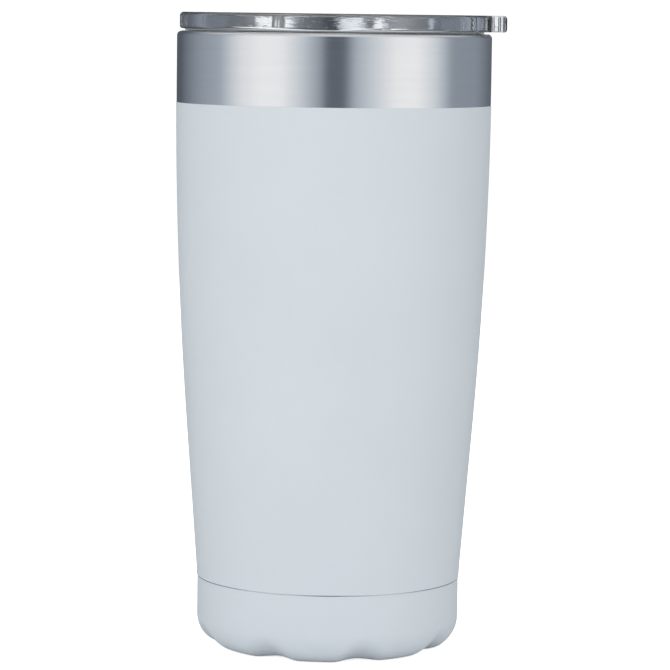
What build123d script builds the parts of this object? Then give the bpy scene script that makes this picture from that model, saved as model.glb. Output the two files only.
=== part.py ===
"""Insulated tumbler with a clear push-in lid, sizes in millimetres.

A double-walled steel cup keeps a vacuum between a tapered outer wall and a conical liner.
The outer wall is powder coated below a bare steel band. A drawn base cup with eight
scalloped lobes closes the vacuum space and is butt-welded to the wall at a visible seam.
Its pump-out hole is sealed by a glass bead behind a round cover plate.
The lid is a clear moulding with a silicone gasket, a drink opening that a slider closes,
a vent and a pull tab.

Frame: the origin is on the cup's axis in the plane that it stands on, +Z is up and +X
points to the lid's pull tab. The slider and drink opening are on the -X side.
"""

import os
from math import atan2, cos, degrees, radians, sin, sqrt, tan

from build123d import *

# Cup, driving dimensions
CUP_HEIGHT = 172.0  # top of the lip above the surface that the cup stands on
BAND_RADIUS = 43.75  # bare steel band, the widest part of the wall
BAND_HEIGHT = 19.9  # lip down to the edge of the powder coating
TAPER_START = 11.6  # lip down to where the wall starts to narrow
SEAM_HEIGHT = 19.6  # weld seam between wall and base cup
SEAM_RADIUS = 36.81  # steel wall at the seam
TAPER_BEND_END = 62.0  # height where the taper runs on straight
WALL_EASE = 4.0  # height above the seam over which the taper eases off
WALL_EASE_SLOPE = 0.03  # slope left at the seam, run over rise
SHOULDER_RADIUS = 1.3  # rounded turn from the band to the lip
LIP_RISE = 0.15  # lip above the shoulder
WALL_SHEET = 0.6
LINER_SHEET = 0.5
COAT_THICKNESS = 0.12
COAT_SEAM_GAP = 0.18  # coating stops this far above the seam
SEAM_EDGE_RADIUS = 0.22

# Liner
MOUTH_RADIUS = 40.2
MOUTH_DEPTH = 14.6  # straight stretch below the lip that the lid's gasket seals on
LINER_BOTTOM_RADIUS = 31.0
LINER_BOTTOM_GAP = 9.2  # base cup's floor to the liner's bottom, the vacuum space there
LINER_CORNER_RADIUS = 9.0
FOIL_THICKNESS = 0.1  # heat-reflecting foil round the liner's cone
FOIL_MARGIN = 6.0  # bare stretch of the cone above and below the foil

# Base cup
BASE_RADIUS = 36.75
BASE_CORNER_RADIUS = 8.5
BASE_SHEET = 0.8
FOOT_INNER_RADIUS = 22.0
RECESS_HEIGHT = 2.2
FOOT_FOLD_RADIUS = 1.2
RECESS_FOLD_RADIUS = 0.9
LOBES = 8
FLUTE_ANGLE = 16.8  # first flute, from +X towards +Y
FLUTE_SECTION_RADIUS = 13.0  # roundness of a flute across
FLUTE_INNER_RADIUS = 24.4  # flutes run out into the foot ring here
FLUTE_TOP = 6.8  # flutes run out into the corner at this height
FLUTE_RUN_OUT = 7.0  # degrees between a flute's bottom line and the foot ring
DIMPLE_RADIUS = 7.0
DIMPLE_HEIGHT = 4.4
DIMPLE_FOLD_RADIUS = 1.0
PUMP_HOLE_RADIUS = 0.9
BEAD_RADIUS = 3.2
BEAD_HEIGHT = 1.1
COVER_RADIUS = 18.5
COVER_THICKNESS = 0.5
GETTER_RADIUS = 4.2
GETTER_HEIGHT = 1.8
GETTER_OFFSET = 14.5  # getter's centre from the cup's axis
CLIP_SHEET = 0.3
CLIP_WALL_HEIGHT = 1.4
CLIP_BRIM = 0.9

# Lid
GASKET_LIP_THICKNESS = 0.4
FLANGE_RADIUS = 43.0
FLANGE_HEIGHT = 4.6
FLANGE_TOP_RADIUS = 1.0
FLANGE_BOTTOM_RADIUS = 0.8
WELL_DROP = 1.2  # lid floor's top below the flange's underside
FLOOR_THICKNESS = 1.8
SKIRT_CLEARANCE = 1.6  # skirt to the liner's mouth
SKIRT_THICKNESS = 1.6
SKIRT_DEPTH = 11.0
TAB_REACH = 4.6  # pull tab beyond the flange
TAB_WIDTH = 16.0
TAB_CORNER_RADIUS = 1.7
OPENING_CENTRE = 29.2  # drink opening from the axis, towards -X
OPENING_LENGTH = 9.0
OPENING_WIDTH = 18.0
OPENING_CORNER_RADIUS = 3.0
VENT_RADIUS = 1.6
VENT_CENTRE = 31.0
GASKET_GROOVE_DEPTH = 0.8
GASKET_GROOVE_HEIGHT = 2.0
GASKET_GROOVE_DROP = 7.2  # flange's underside down to the groove
GASKET_WALL = 0.9
GASKET_DEPTH = 9.6
GASKET_LIP_REACH = 3.0
GASKET_FIN_THICKNESS = 0.7
GASKET_FIN_SPACING = 3.2
GASKET_FIN_DROP = 8.0
GASKET_CLEARANCE = 0.1

# Slider
SLIDER_WIDTH = 24.0
SLIDER_PLATE = 1.0  # side flange that the rails hold down
SLIDER_BODY_HEIGHT = 2.15
SLIDER_BODY_INSET = 1.5
SLIDER_INNER_END = 13.0  # closed slider's inner end from the axis, towards -X
SLIDER_TRAVEL = 20.0
SLIDE_CLEARANCE = 0.15
SEAL_BORDER = 1.75  # seal beyond the drink opening, all round
SEAL_THICKNESS = 0.9
SEAL_PROUD = 0.2  # seal below the slider's underside
SEAL_FLOOR_GAP = 0.05
RAIL_THICKNESS = 1.6
RAIL_LIP_HEIGHT = 0.9
THUMB_RIDGE_LENGTH = 3.2
THUMB_RIDGE_WIDTH = 14.0
THUMB_RIDGE_GAP = 0.5  # ridge's top below the lid's top
GRIP_RIBS = 3
GRIP_RIB_PITCH = 2.4
GRIP_RIB_HEIGHT = 0.5
STOP_LENGTH = 1.6
STOP_WIDTH = 12.0
STOP_HEIGHT = 1.6

# Worked-out places
shoulder_z = CUP_HEIGHT - LIP_RISE
coat_top_z = CUP_HEIGHT - BAND_HEIGHT
taper_z = CUP_HEIGHT - TAPER_START
ease_z = SEAM_HEIGHT + WALL_EASE
floor_inside_z = RECESS_HEIGHT + BASE_SHEET
liner_bottom_z = floor_inside_z + LINER_BOTTOM_GAP
mouth_low_z = CUP_HEIGHT - MOUTH_DEPTH
flange_z = CUP_HEIGHT + GASKET_LIP_THICKNESS
lid_top_z = flange_z + FLANGE_HEIGHT
lid_floor_z = flange_z - WELL_DROP
lid_floor_under_z = lid_floor_z - FLOOR_THICKNESS
skirt_radius = MOUTH_RADIUS - SKIRT_CLEARANCE
well_radius = skirt_radius - SKIRT_THICKNESS
skirt_low_z = flange_z - SKIRT_DEPTH
slider_z = lid_floor_z + SEAL_FLOOR_GAP + SEAL_PROUD
slider_end_radius = well_radius - FLANGE_TOP_RADIUS - 2 * SLIDE_CLEARANCE


def side_plane(angle=0.0):
    """The upright half-plane at an angle from +X, with its x across and its y up."""
    across, along = cos(radians(angle)), sin(radians(angle))
    return Plane(origin=(0, 0, 0), x_dir=(across, along, 0), z_dir=(along, -across, 0))


def wall_line():
    """The steel wall's outer line, from the liner over the shoulder to just below the seam."""
    bend, straight = taper_z - TAPER_BEND_END, TAPER_BEND_END - ease_z
    drop = BAND_RADIUS - SEAM_RADIUS
    taper = (2 * drop - WALL_EASE * WALL_EASE_SLOPE) / (bend + 2 * straight + WALL_EASE)
    bend_point = (BAND_RADIUS - bend * tan(taper / 2), TAPER_BEND_END)
    ease_point = (bend_point[0] - straight * tan(taper), ease_z)
    going_down = (-sin(taper), -cos(taper))
    with BuildLine() as line:
        flat = Line((MOUTH_RADIUS + LINER_SHEET, shoulder_z), (BAND_RADIUS - SHOULDER_RADIUS, shoulder_z))
        turn = TangentArc(flat @ 1, (BAND_RADIUS, shoulder_z - SHOULDER_RADIUS), tangent=(1, 0))
        band = Line(turn @ 1, (BAND_RADIUS, taper_z))
        TangentArc(band @ 1, bend_point, tangent=(0, -1))
        Line(bend_point, ease_point)
        ease_arc = TangentArc(ease_point, (SEAM_RADIUS, SEAM_HEIGHT), tangent=going_down)
        Line(ease_arc @ 1, ease_arc @ 1 + (ease_arc % 1) * WALL_SHEET)
    return line.wire()


def base_blank(inset):
    """The base cup's filled shape, its skin moved inwards by inset, before the flutes."""
    top = SEAM_HEIGHT + 2 * inset
    with BuildPart() as blank:
        with BuildSketch(side_plane(FLUTE_ANGLE + 180 / LOBES)) as section:
            with BuildLine():
                Polyline(
                    (0, DIMPLE_HEIGHT + inset),
                    (DIMPLE_RADIUS + inset, DIMPLE_HEIGHT + inset),
                    (DIMPLE_RADIUS + inset, RECESS_HEIGHT + inset),
                    (FOOT_INNER_RADIUS + inset, RECESS_HEIGHT + inset),
                    (FOOT_INNER_RADIUS + inset, inset),
                    (BASE_RADIUS - inset, inset),
                    (BASE_RADIUS - inset, top),
                    (0, top),
                    close=True,
                )
            make_face()
            folds = {
                (DIMPLE_RADIUS + inset, DIMPLE_HEIGHT + inset): DIMPLE_FOLD_RADIUS + inset,
                (DIMPLE_RADIUS + inset, RECESS_HEIGHT + inset): DIMPLE_FOLD_RADIUS - inset,
                (FOOT_INNER_RADIUS + inset, RECESS_HEIGHT + inset): RECESS_FOLD_RADIUS + inset,
                (FOOT_INNER_RADIUS + inset, inset): FOOT_FOLD_RADIUS - inset,
                (BASE_RADIUS - inset, inset): BASE_CORNER_RADIUS - inset,
                (BASE_RADIUS - inset, top): SEAM_EDGE_RADIUS,
            }
            for place, radius in folds.items():
                corner = section.vertices().sort_by_distance(place)[0]
                fillet(corner, radius)
        revolve(axis=Axis.Z)
        add(flute_cutters(inset), mode=Mode.SUBTRACT)
    return blank.part


def flute_cutters(inset):
    """Pieces of ring whose inner side draws the flutes' bottom line across the cup's corner."""
    corner_x = BASE_RADIUS - BASE_CORNER_RADIUS
    reach = sqrt(BASE_CORNER_RADIUS**2 - (BASE_CORNER_RADIUS - FLUTE_TOP) ** 2)
    top = Vector(corner_x + reach, FLUTE_TOP)
    low = Vector(FLUTE_INNER_RADIUS, 0)
    chord = top - low
    rise = degrees(atan2(chord.Y, chord.X))
    bend = rise - FLUTE_RUN_OUT
    line_radius = chord.length / 2 / sin(radians(bend))
    outwards = Vector(chord.Y, -chord.X).normalized()
    centre = (top + low) / 2 - outwards * (line_radius * cos(radians(bend)))
    with BuildPart() as cutters:
        for i in range(LOBES):
            ring = side_plane(FLUTE_ANGLE + i * 360 / LOBES) * Pos(centre.X, centre.Y) * Rot(0, 0, -90)
            add(
                ring
                * Torus(
                    line_radius + FLUTE_SECTION_RADIUS,
                    FLUTE_SECTION_RADIUS + inset,
                    major_angle=rise + bend + 30,
                    align=None,
                    mode=Mode.PRIVATE,
                )
            )
    return cutters.part


def sheet_section(line, thickness, side):
    """The closed section of a sheet whose one side runs along a line."""
    with BuildSketch() as section:
        with BuildLine():
            add(line)
            offset(amount=thickness, side=side)
        make_face()
    return section.sketch


def liner_line():
    """The liner's inside line, from the axis over the bottom corner up to the lip."""
    bottom = liner_bottom_z + LINER_SHEET
    with BuildLine() as line:
        Polyline((0, bottom), (LINER_BOTTOM_RADIUS, bottom), (MOUTH_RADIUS, mouth_low_z))
        fillet(line.vertices().sort_by(Axis.X)[1], LINER_CORNER_RADIUS)
        Line((MOUTH_RADIUS, mouth_low_z), (MOUTH_RADIUS, CUP_HEIGHT))
    return line.wire()


def opening_outline(border, radius):
    """The drink opening's outline, grown by a border."""
    with BuildSketch() as outline:
        with Locations((-OPENING_CENTRE, 0)):
            RectangleRounded(OPENING_LENGTH + 2 * border, OPENING_WIDTH + 2 * border, radius)
    return outline.sketch


# Outer wall, a tapered steel tube turned in over the shoulder to meet the liner
with BuildPart() as outer_wall:
    with BuildSketch(side_plane()):
        add(sheet_section(wall_line(), WALL_SHEET, Side.RIGHT))
        with Locations((BAND_RADIUS / 2, SEAM_HEIGHT + CUP_HEIGHT / 2)):
            Rectangle(2 * BAND_RADIUS, CUP_HEIGHT, mode=Mode.INTERSECT)
    revolve(axis=Axis.Z)

# Powder coating on the wall, from just above the seam to the bare band
with BuildPart() as wall_coating:
    coat_low_z = SEAM_HEIGHT + COAT_SEAM_GAP
    with BuildSketch(side_plane()):
        add(sheet_section(wall_line(), COAT_THICKNESS, Side.LEFT))
        with Locations((BAND_RADIUS / 2, (coat_low_z + coat_top_z) / 2)):
            Rectangle(2 * BAND_RADIUS, coat_top_z - coat_low_z, mode=Mode.INTERSECT)
    revolve(axis=Axis.Z)

# Liner that holds the drink, its mouth standing just above the shoulder
with BuildPart() as inner_wall:
    with BuildSketch(side_plane()):
        add(sheet_section(liner_line(), LINER_SHEET, Side.RIGHT))
    revolve(axis=Axis.Z)
    lip = inner_wall.edges().group_by(Axis.Z)[-1]
    fillet(lip, 0.4 * LINER_SHEET)

# Heat-reflecting foil laid on the liner's cone, inside the vacuum space
with BuildPart() as reflective_foil:
    with BuildSketch(side_plane()):
        add(sheet_section(liner_line(), LINER_SHEET + FOIL_THICKNESS, Side.RIGHT))
        add(sheet_section(liner_line(), LINER_SHEET, Side.RIGHT), mode=Mode.SUBTRACT)
        foil_low_z = liner_bottom_z + LINER_CORNER_RADIUS + FOIL_MARGIN
        foil_top_z = mouth_low_z - FOIL_MARGIN
        with Locations((BAND_RADIUS / 2, (foil_low_z + foil_top_z) / 2)):
            Rectangle(BAND_RADIUS, foil_top_z - foil_low_z, mode=Mode.INTERSECT)
    revolve(axis=Axis.Z)

# Base cup with its fluted corner, foot ring, recess, dimple and pump-out hole
with BuildPart() as base_cup:
    add(base_blank(0))
    add(base_blank(BASE_SHEET), mode=Mode.SUBTRACT)
    with BuildSketch(Plane.XY.offset(DIMPLE_HEIGHT)):
        Circle(PUMP_HOLE_RADIUS)
    extrude(amount=BASE_SHEET, mode=Mode.SUBTRACT)

# Solder glass that closes the pump-out hole and stands in the dimple
with BuildPart() as seal_bead:
    with BuildSketch(Plane.XY.offset(DIMPLE_HEIGHT)):
        Circle(PUMP_HOLE_RADIUS)
    extrude(amount=BASE_SHEET)
    with BuildSketch(Plane.XY.offset(DIMPLE_HEIGHT - BEAD_HEIGHT)):
        Circle(BEAD_RADIUS)
    extrude(amount=BEAD_HEIGHT)
    fillet(seal_bead.edges().group_by(Axis.Z)[0], 0.8 * BEAD_HEIGHT)

# Round plate over the dimple, flat against the recess
with BuildPart() as base_cover_plate:
    with BuildSketch(Plane.XY.offset(RECESS_HEIGHT - COVER_THICKNESS)):
        Circle(COVER_RADIUS)
    extrude(amount=COVER_THICKNESS)
    chamfer(base_cover_plate.edges().group_by(Axis.Z)[0], 0.3 * COVER_THICKNESS)

# Getter clip, a small brimmed dish on the base cup's floor inside the vacuum space
with BuildPart() as getter_clip:
    with BuildSketch(Plane.XY.offset(floor_inside_z)):
        with Locations((0, GETTER_OFFSET)):
            Circle(GETTER_RADIUS + CLIP_SHEET)
    extrude(amount=CLIP_SHEET + CLIP_WALL_HEIGHT)
    with BuildSketch(Plane.XY.offset(floor_inside_z)):
        with Locations((0, GETTER_OFFSET)):
            Circle(GETTER_RADIUS + CLIP_SHEET + CLIP_BRIM)
    extrude(amount=CLIP_SHEET)
    with BuildSketch(Plane.XY.offset(floor_inside_z + CLIP_SHEET)):
        with Locations((0, GETTER_OFFSET)):
            Circle(GETTER_RADIUS)
    extrude(amount=CLIP_WALL_HEIGHT, mode=Mode.SUBTRACT)

with BuildPart() as getter_pellet:
    with BuildSketch(Plane.XY.offset(floor_inside_z + CLIP_SHEET)):
        with Locations((0, GETTER_OFFSET)):
            Circle(GETTER_RADIUS)
    extrude(amount=GETTER_HEIGHT)
    fillet(getter_pellet.edges().group_by(Axis.Z)[-1], 0.25 * GETTER_HEIGHT)

# Lid moulding
groove_low_z = flange_z - GASKET_GROOVE_DROP - GASKET_GROOVE_HEIGHT
rail_in_y = SLIDER_WIDTH / 2 + SLIDE_CLEARANCE
rail_lip_y = SLIDER_WIDTH / 2 - SLIDER_BODY_INSET + SLIDE_CLEARANCE
rail_lip_z = slider_z + SLIDER_PLATE + SLIDE_CLEARANCE
rail_end_x = SLIDER_TRAVEL - SLIDER_INNER_END
with BuildPart() as lid_body:
    # Flange with its pull tab
    with BuildSketch(Plane.XY.offset(flange_z)) as outline:
        Circle(FLANGE_RADIUS)
        with Locations(((FLANGE_RADIUS + TAB_REACH) / 2, 0)):
            Rectangle(FLANGE_RADIUS + TAB_REACH, TAB_WIDTH)
        by_reach = outline.vertices().group_by(Axis.X)
        fillet(by_reach[-1] + by_reach[-2], TAB_CORNER_RADIUS)
    extrude(amount=FLANGE_HEIGHT)
    fillet(lid_body.edges().group_by(Axis.Z)[-1], FLANGE_TOP_RADIUS)
    fillet(lid_body.edges().group_by(Axis.Z)[0], FLANGE_BOTTOM_RADIUS)
    # Skirt that reaches into the mouth, hollow above and below the floor
    with BuildSketch(Plane.XY.offset(skirt_low_z)):
        Circle(skirt_radius)
    extrude(amount=flange_z - skirt_low_z)
    with BuildSketch(Plane.XY.offset(lid_floor_z)):
        Circle(well_radius)
    extrude(amount=lid_top_z - lid_floor_z, mode=Mode.SUBTRACT)
    well_edge = lid_body.edges().group_by(Axis.Z)[-1].filter_by(GeomType.CIRCLE).sort_by(SortBy.RADIUS)
    fillet([e for e in well_edge if abs(e.radius - well_radius) < 0.01], FLANGE_TOP_RADIUS)
    with BuildSketch(Plane.XY.offset(skirt_low_z)):
        Circle(well_radius)
    extrude(amount=lid_floor_under_z - skirt_low_z, mode=Mode.SUBTRACT)
    # Groove for the gasket's bead
    with BuildSketch(Plane.XY.offset(groove_low_z)):
        Circle(skirt_radius)
        Circle(skirt_radius - GASKET_GROOVE_DEPTH, mode=Mode.SUBTRACT)
    extrude(amount=GASKET_GROOVE_HEIGHT, mode=Mode.SUBTRACT)
    # Drink opening and vent
    with BuildSketch(Plane.XY.offset(lid_floor_under_z)):
        add(opening_outline(0, OPENING_CORNER_RADIUS))
        with Locations((VENT_CENTRE, 0)):
            Circle(VENT_RADIUS)
    extrude(amount=FLOOR_THICKNESS, mode=Mode.SUBTRACT)
    # Rails with lips that hold the slider down, and the stop at the end of its travel
    with BuildSketch(Plane.XY.offset(lid_floor_z)):
        for side in (-1, 1):
            with Locations(((rail_end_x - well_radius) / 2, side * (rail_in_y + RAIL_THICKNESS / 2))):
                Rectangle(rail_end_x + well_radius, RAIL_THICKNESS)
        Circle(well_radius, mode=Mode.INTERSECT)
    extrude(amount=rail_lip_z + RAIL_LIP_HEIGHT - lid_floor_z)
    with BuildSketch(Plane.XY.offset(rail_lip_z)):
        for side in (-1, 1):
            with Locations(((rail_end_x - well_radius) / 2, side * (rail_in_y + rail_lip_y) / 2)):
                Rectangle(rail_end_x + well_radius, rail_in_y - rail_lip_y)
        Circle(well_radius, mode=Mode.INTERSECT)
    extrude(amount=RAIL_LIP_HEIGHT)
    with BuildSketch(Plane.XY.offset(lid_floor_z)):
        with Locations((rail_end_x + SLIDE_CLEARANCE + STOP_LENGTH / 2, 0)):
            Rectangle(STOP_LENGTH, STOP_WIDTH)
    extrude(amount=STOP_HEIGHT)

# Silicone gasket on the skirt: a sleeve, a top lip, two fins and a bead in the groove
with BuildPart() as lid_gasket:
    with BuildSketch(side_plane()):
        rings = [
            (skirt_radius, skirt_radius + GASKET_WALL, flange_z - GASKET_DEPTH, flange_z),
            (skirt_radius, skirt_radius + GASKET_LIP_REACH, CUP_HEIGHT, flange_z),
            (skirt_radius - GASKET_GROOVE_DEPTH, skirt_radius, groove_low_z,
             groove_low_z + GASKET_GROOVE_HEIGHT),
        ]
        for i in range(2):
            fin_z = flange_z - GASKET_FIN_DROP + i * GASKET_FIN_SPACING
            fin_radius = MOUTH_RADIUS - GASKET_CLEARANCE
            rings.append((skirt_radius, fin_radius, fin_z, fin_z + GASKET_FIN_THICKNESS))
        for r_in, r_out, low, high in rings:
            with Locations(((r_in + r_out) / 2, (low + high) / 2)):
                Rectangle(r_out - r_in, high - low)
    revolve(axis=Axis.Z)

# Slider, a plate held by the rails with a raised middle and a thumb ridge
with BuildPart() as slider:
    body_width = SLIDER_WIDTH - 2 * SLIDER_BODY_INSET
    for width, thickness in ((SLIDER_WIDTH, SLIDER_PLATE), (body_width, SLIDER_BODY_HEIGHT)):
        with BuildSketch(Plane.XY.offset(slider_z)):
            with Locations((-(SLIDER_INNER_END + well_radius) / 2, 0)):
                Rectangle(well_radius - SLIDER_INNER_END, width)
            Circle(slider_end_radius, mode=Mode.INTERSECT)
        extrude(amount=thickness)
    body_top_z = slider_z + SLIDER_BODY_HEIGHT
    ridge_x = -SLIDER_INNER_END - 1 - THUMB_RIDGE_LENGTH / 2
    with BuildSketch(Plane.XY.offset(body_top_z)):
        with Locations((ridge_x, 0)):
            RectangleRounded(THUMB_RIDGE_LENGTH, THUMB_RIDGE_WIDTH, 0.4 * THUMB_RIDGE_LENGTH)
    extrude(amount=lid_top_z - THUMB_RIDGE_GAP - body_top_z)
    fillet(slider.edges().group_by(Axis.Z)[-1], 0.8)
    with BuildSketch(Plane.XY.offset(body_top_z)):
        for i in range(GRIP_RIBS):
            with Locations((ridge_x - (i + 1.5) * GRIP_RIB_PITCH, 0)):
                RectangleRounded(0.4 * GRIP_RIB_PITCH, THUMB_RIDGE_WIDTH, 0.15 * GRIP_RIB_PITCH)
    extrude(amount=GRIP_RIB_HEIGHT)
    with BuildSketch(Plane.XY.offset(slider_z)):
        add(opening_outline(SEAL_BORDER, OPENING_CORNER_RADIUS + SEAL_BORDER))
        Circle(slider_end_radius - SLIDE_CLEARANCE, mode=Mode.INTERSECT)
    extrude(amount=SEAL_THICKNESS - SEAL_PROUD, mode=Mode.SUBTRACT)

# Silicone pad in the slider's underside that covers the drink opening
with BuildPart() as slider_seal:
    with BuildSketch(Plane.XY.offset(slider_z - SEAL_PROUD)):
        add(opening_outline(SEAL_BORDER, OPENING_CORNER_RADIUS + SEAL_BORDER))
        Circle(slider_end_radius - SLIDE_CLEARANCE, mode=Mode.INTERSECT)
    extrude(amount=SEAL_THICKNESS)

os.makedirs("parts", exist_ok=True)
outer_wall.part.label = "outer_wall"
export_step(outer_wall.part, "parts/outer_wall.step")
inner_wall.part.label = "inner_wall"
export_step(inner_wall.part, "parts/inner_wall.step")
wall_coating.part.label = "wall_coating"
export_step(wall_coating.part, "parts/wall_coating.step")
reflective_foil.part.label = "reflective_foil"
export_step(reflective_foil.part, "parts/reflective_foil.step")
base_cup.part.label = "base_cup"
export_step(base_cup.part, "parts/base_cup.step")
seal_bead.part.label = "seal_bead"
export_step(seal_bead.part, "parts/seal_bead.step")
base_cover_plate.part.label = "base_cover_plate"
export_step(base_cover_plate.part, "parts/base_cover_plate.step")
getter_clip.part.label = "getter_clip"
export_step(getter_clip.part, "parts/getter_clip.step")
getter_pellet.part.label = "getter_pellet"
export_step(getter_pellet.part, "parts/getter_pellet.step")
lid_body.part.label = "lid_body"
export_step(lid_body.part, "parts/lid_body.step")
lid_gasket.part.label = "lid_gasket"
export_step(lid_gasket.part, "parts/lid_gasket.step")
slider.part.label = "slider"
export_step(slider.part, "parts/slider.step")
slider_seal.part.label = "slider_seal"
export_step(slider_seal.part, "parts/slider_seal.step")
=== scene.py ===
"""Insulated tumbler with a clear push-in lid and a slider, laid out as an add-on.

Each operator makes one piece, or a group of like pieces, from the sizes and colours in the
sidebar panel. All lengths are in metres. The cup's axis is Z, it stands on Z = 0, and the
lid's pull tab points to +X.
"""

import bpy
import numpy as np
from bpy.props import FloatProperty, FloatVectorProperty, IntProperty, PointerProperty
from mathutils import Matrix, Vector


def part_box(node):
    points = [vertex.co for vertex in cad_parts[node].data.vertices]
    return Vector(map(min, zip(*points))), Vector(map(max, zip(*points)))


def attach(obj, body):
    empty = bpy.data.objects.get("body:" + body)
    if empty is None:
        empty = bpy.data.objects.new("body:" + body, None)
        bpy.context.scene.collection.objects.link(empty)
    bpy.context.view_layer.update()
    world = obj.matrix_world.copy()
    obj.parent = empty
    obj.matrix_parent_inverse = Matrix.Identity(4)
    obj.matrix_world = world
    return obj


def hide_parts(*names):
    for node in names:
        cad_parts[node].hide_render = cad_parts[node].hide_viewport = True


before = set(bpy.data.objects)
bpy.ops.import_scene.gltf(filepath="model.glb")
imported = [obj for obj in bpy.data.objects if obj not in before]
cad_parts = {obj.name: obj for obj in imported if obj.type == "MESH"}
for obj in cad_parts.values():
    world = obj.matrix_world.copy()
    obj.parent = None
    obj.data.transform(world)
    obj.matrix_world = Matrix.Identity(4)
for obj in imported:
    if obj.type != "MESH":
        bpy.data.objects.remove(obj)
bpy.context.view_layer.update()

bl_info = {
    "name": "Insulated tumbler with lid",
    "version": (1, 0, 0),
    "blender": (4, 5, 0),
    "location": "3D View > Sidebar > Tumbler",
    "description": "Makes a double-walled tumbler, its clear lid and slider, and a small studio",
    "category": "Add Mesh",
}

LID_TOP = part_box("lid_body")[1].z
FLANGE_UNDERSIDE = LID_TOP - 0.0046
LIP_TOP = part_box("inner_wall")[1].z
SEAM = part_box("base_cup")[1].z
COAT_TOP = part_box("wall_coating")[1].z


def length(name, description, default, low=0.0, high=1.0):
    """A length property in metres."""
    return FloatProperty(
        name=name, description=description, default=default, min=low, max=high,
        precision=5, unit="LENGTH",
    )


def colour(name, description, default):
    """A colour property in linear light."""
    return FloatVectorProperty(
        name=name, description=description, default=default, min=0.0, max=1.0,
        size=3, subtype="COLOR",
    )


class WallSizes(bpy.types.PropertyGroup):
    """Sizes of the steel wall and its powder coating."""

    band_radius: length("Band radius", "Radius of the bare steel band", 0.04375)
    shoulder_height: length("Shoulder height", "Top of the wall's shoulder", LIP_TOP - 0.00015)
    shoulder_radius: length("Shoulder radius", "Roundness of the shoulder", 0.0013)
    mouth_radius: length("Mouth radius", "Where the shoulder meets the liner", 0.0407)
    taper_height: length("Taper start", "Height where the wall starts to narrow", LIP_TOP - 0.0116)
    bend_end: length("Bend end", "Height where the taper runs on straight", 0.062)
    ease_height: length("Ease height", "Height where the taper starts to ease off", SEAM + 0.004)
    ease_slope: FloatProperty(name="Ease slope", description="Slope left at the seam", default=0.03)
    seam_height: length("Seam height", "Weld seam above the floor", SEAM)
    seam_radius: length("Seam radius", "Steel wall at the seam", 0.03681)
    # Painted shade: the steel is darkened up to this height, fading over the fade above it, for the shade in
    # the seam's gap.
    seam_shade_height: length("Weld tint height", "Height up to which the weld tints the steel", SEAM + 0.0015)
    seam_shade_fade: length("Weld tint fade", "Height over which the weld's tint fades out", 0.0004)
    sheet: length("Sheet", "Thickness of the steel", 0.0006)
    coat_top: length("Coating top", "Upper edge of the powder coating", COAT_TOP)
    coat_gap: length("Coating gap", "Bare stretch above the seam", 0.00018)
    coat_thickness: length("Coating thickness", "Thickness of the powder coating", 0.00012)
    segments: IntProperty(name="Segments", description="Steps round the axis", default=320, min=32, max=720)


class LinerSizes(bpy.types.PropertyGroup):
    """Sizes of the liner that holds the drink."""

    mouth_radius: length("Mouth radius", "Inside radius at the lip", 0.0402)
    lip_height: length("Lip height", "Top of the lip", LIP_TOP)
    cone_height: length("Cone height", "Height where the straight mouth ends", LIP_TOP - 0.0146)
    bottom_radius: length("Bottom radius", "Inside radius at the bottom", 0.031)
    bottom_height: length("Bottom height", "Height of the liner's inside bottom", 0.0127)
    corner_radius: length("Corner radius", "Roundness of the bottom corner", 0.009)
    sheet: length("Sheet", "Thickness of the steel", 0.0005)


class BaseSizes(bpy.types.PropertyGroup):
    """Sizes of the drawn base cup with its flutes."""

    radius: length("Radius", "Outside radius of the base cup", 0.03675)
    corner_radius: length("Corner radius", "Roundness of the lower corner", 0.0085)
    sheet: length("Sheet", "Thickness of the base cup", 0.0008)
    seam_edge: length("Seam edge", "Rounded upper edge at the seam", 0.00022)
    foot_radius: length("Foot radius", "Inside radius of the foot ring", 0.022)
    foot_fold: length("Foot fold", "Roundness of the foot ring's inside", 0.0012)
    recess_height: length("Recess height", "Height of the recessed underside", 0.0022)
    recess_fold: length("Recess fold", "Roundness of the recess's corner", 0.0009)
    dimple_radius: length("Dimple radius", "Radius of the middle dimple", 0.007)
    dimple_height: length("Dimple height", "Height of the dimple's roof", 0.0044)
    dimple_fold: length("Dimple fold", "Roundness of the dimple's edges", 0.001)
    hole_radius: length("Pump hole", "Radius of the pump-out hole", 0.0009)
    flutes: IntProperty(name="Flutes", description="Number of flutes", default=8, min=3, max=24)
    flute_angle: FloatProperty(name="Flute angle", description="First flute from +X, degrees", default=16.8)
    flute_roundness: length("Flute roundness", "Radius of a flute across", 0.013)
    flute_inner: length("Flute inner end", "Radius where a flute meets the foot ring", 0.0244)
    flute_top: length("Flute top", "Height where a flute fades out", 0.0068)
    flute_run_out: FloatProperty(name="Run-out", description="Angle to the foot ring, degrees", default=7.0)
    flute_blend: length("Flute blend", "Softness of a flute's edges", 0.0009)
    cover_radius: length("Cover radius", "Radius of the cover plate", 0.0185)
    cover_thickness: length("Cover thickness", "Thickness of the cover plate", 0.0005)


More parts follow.
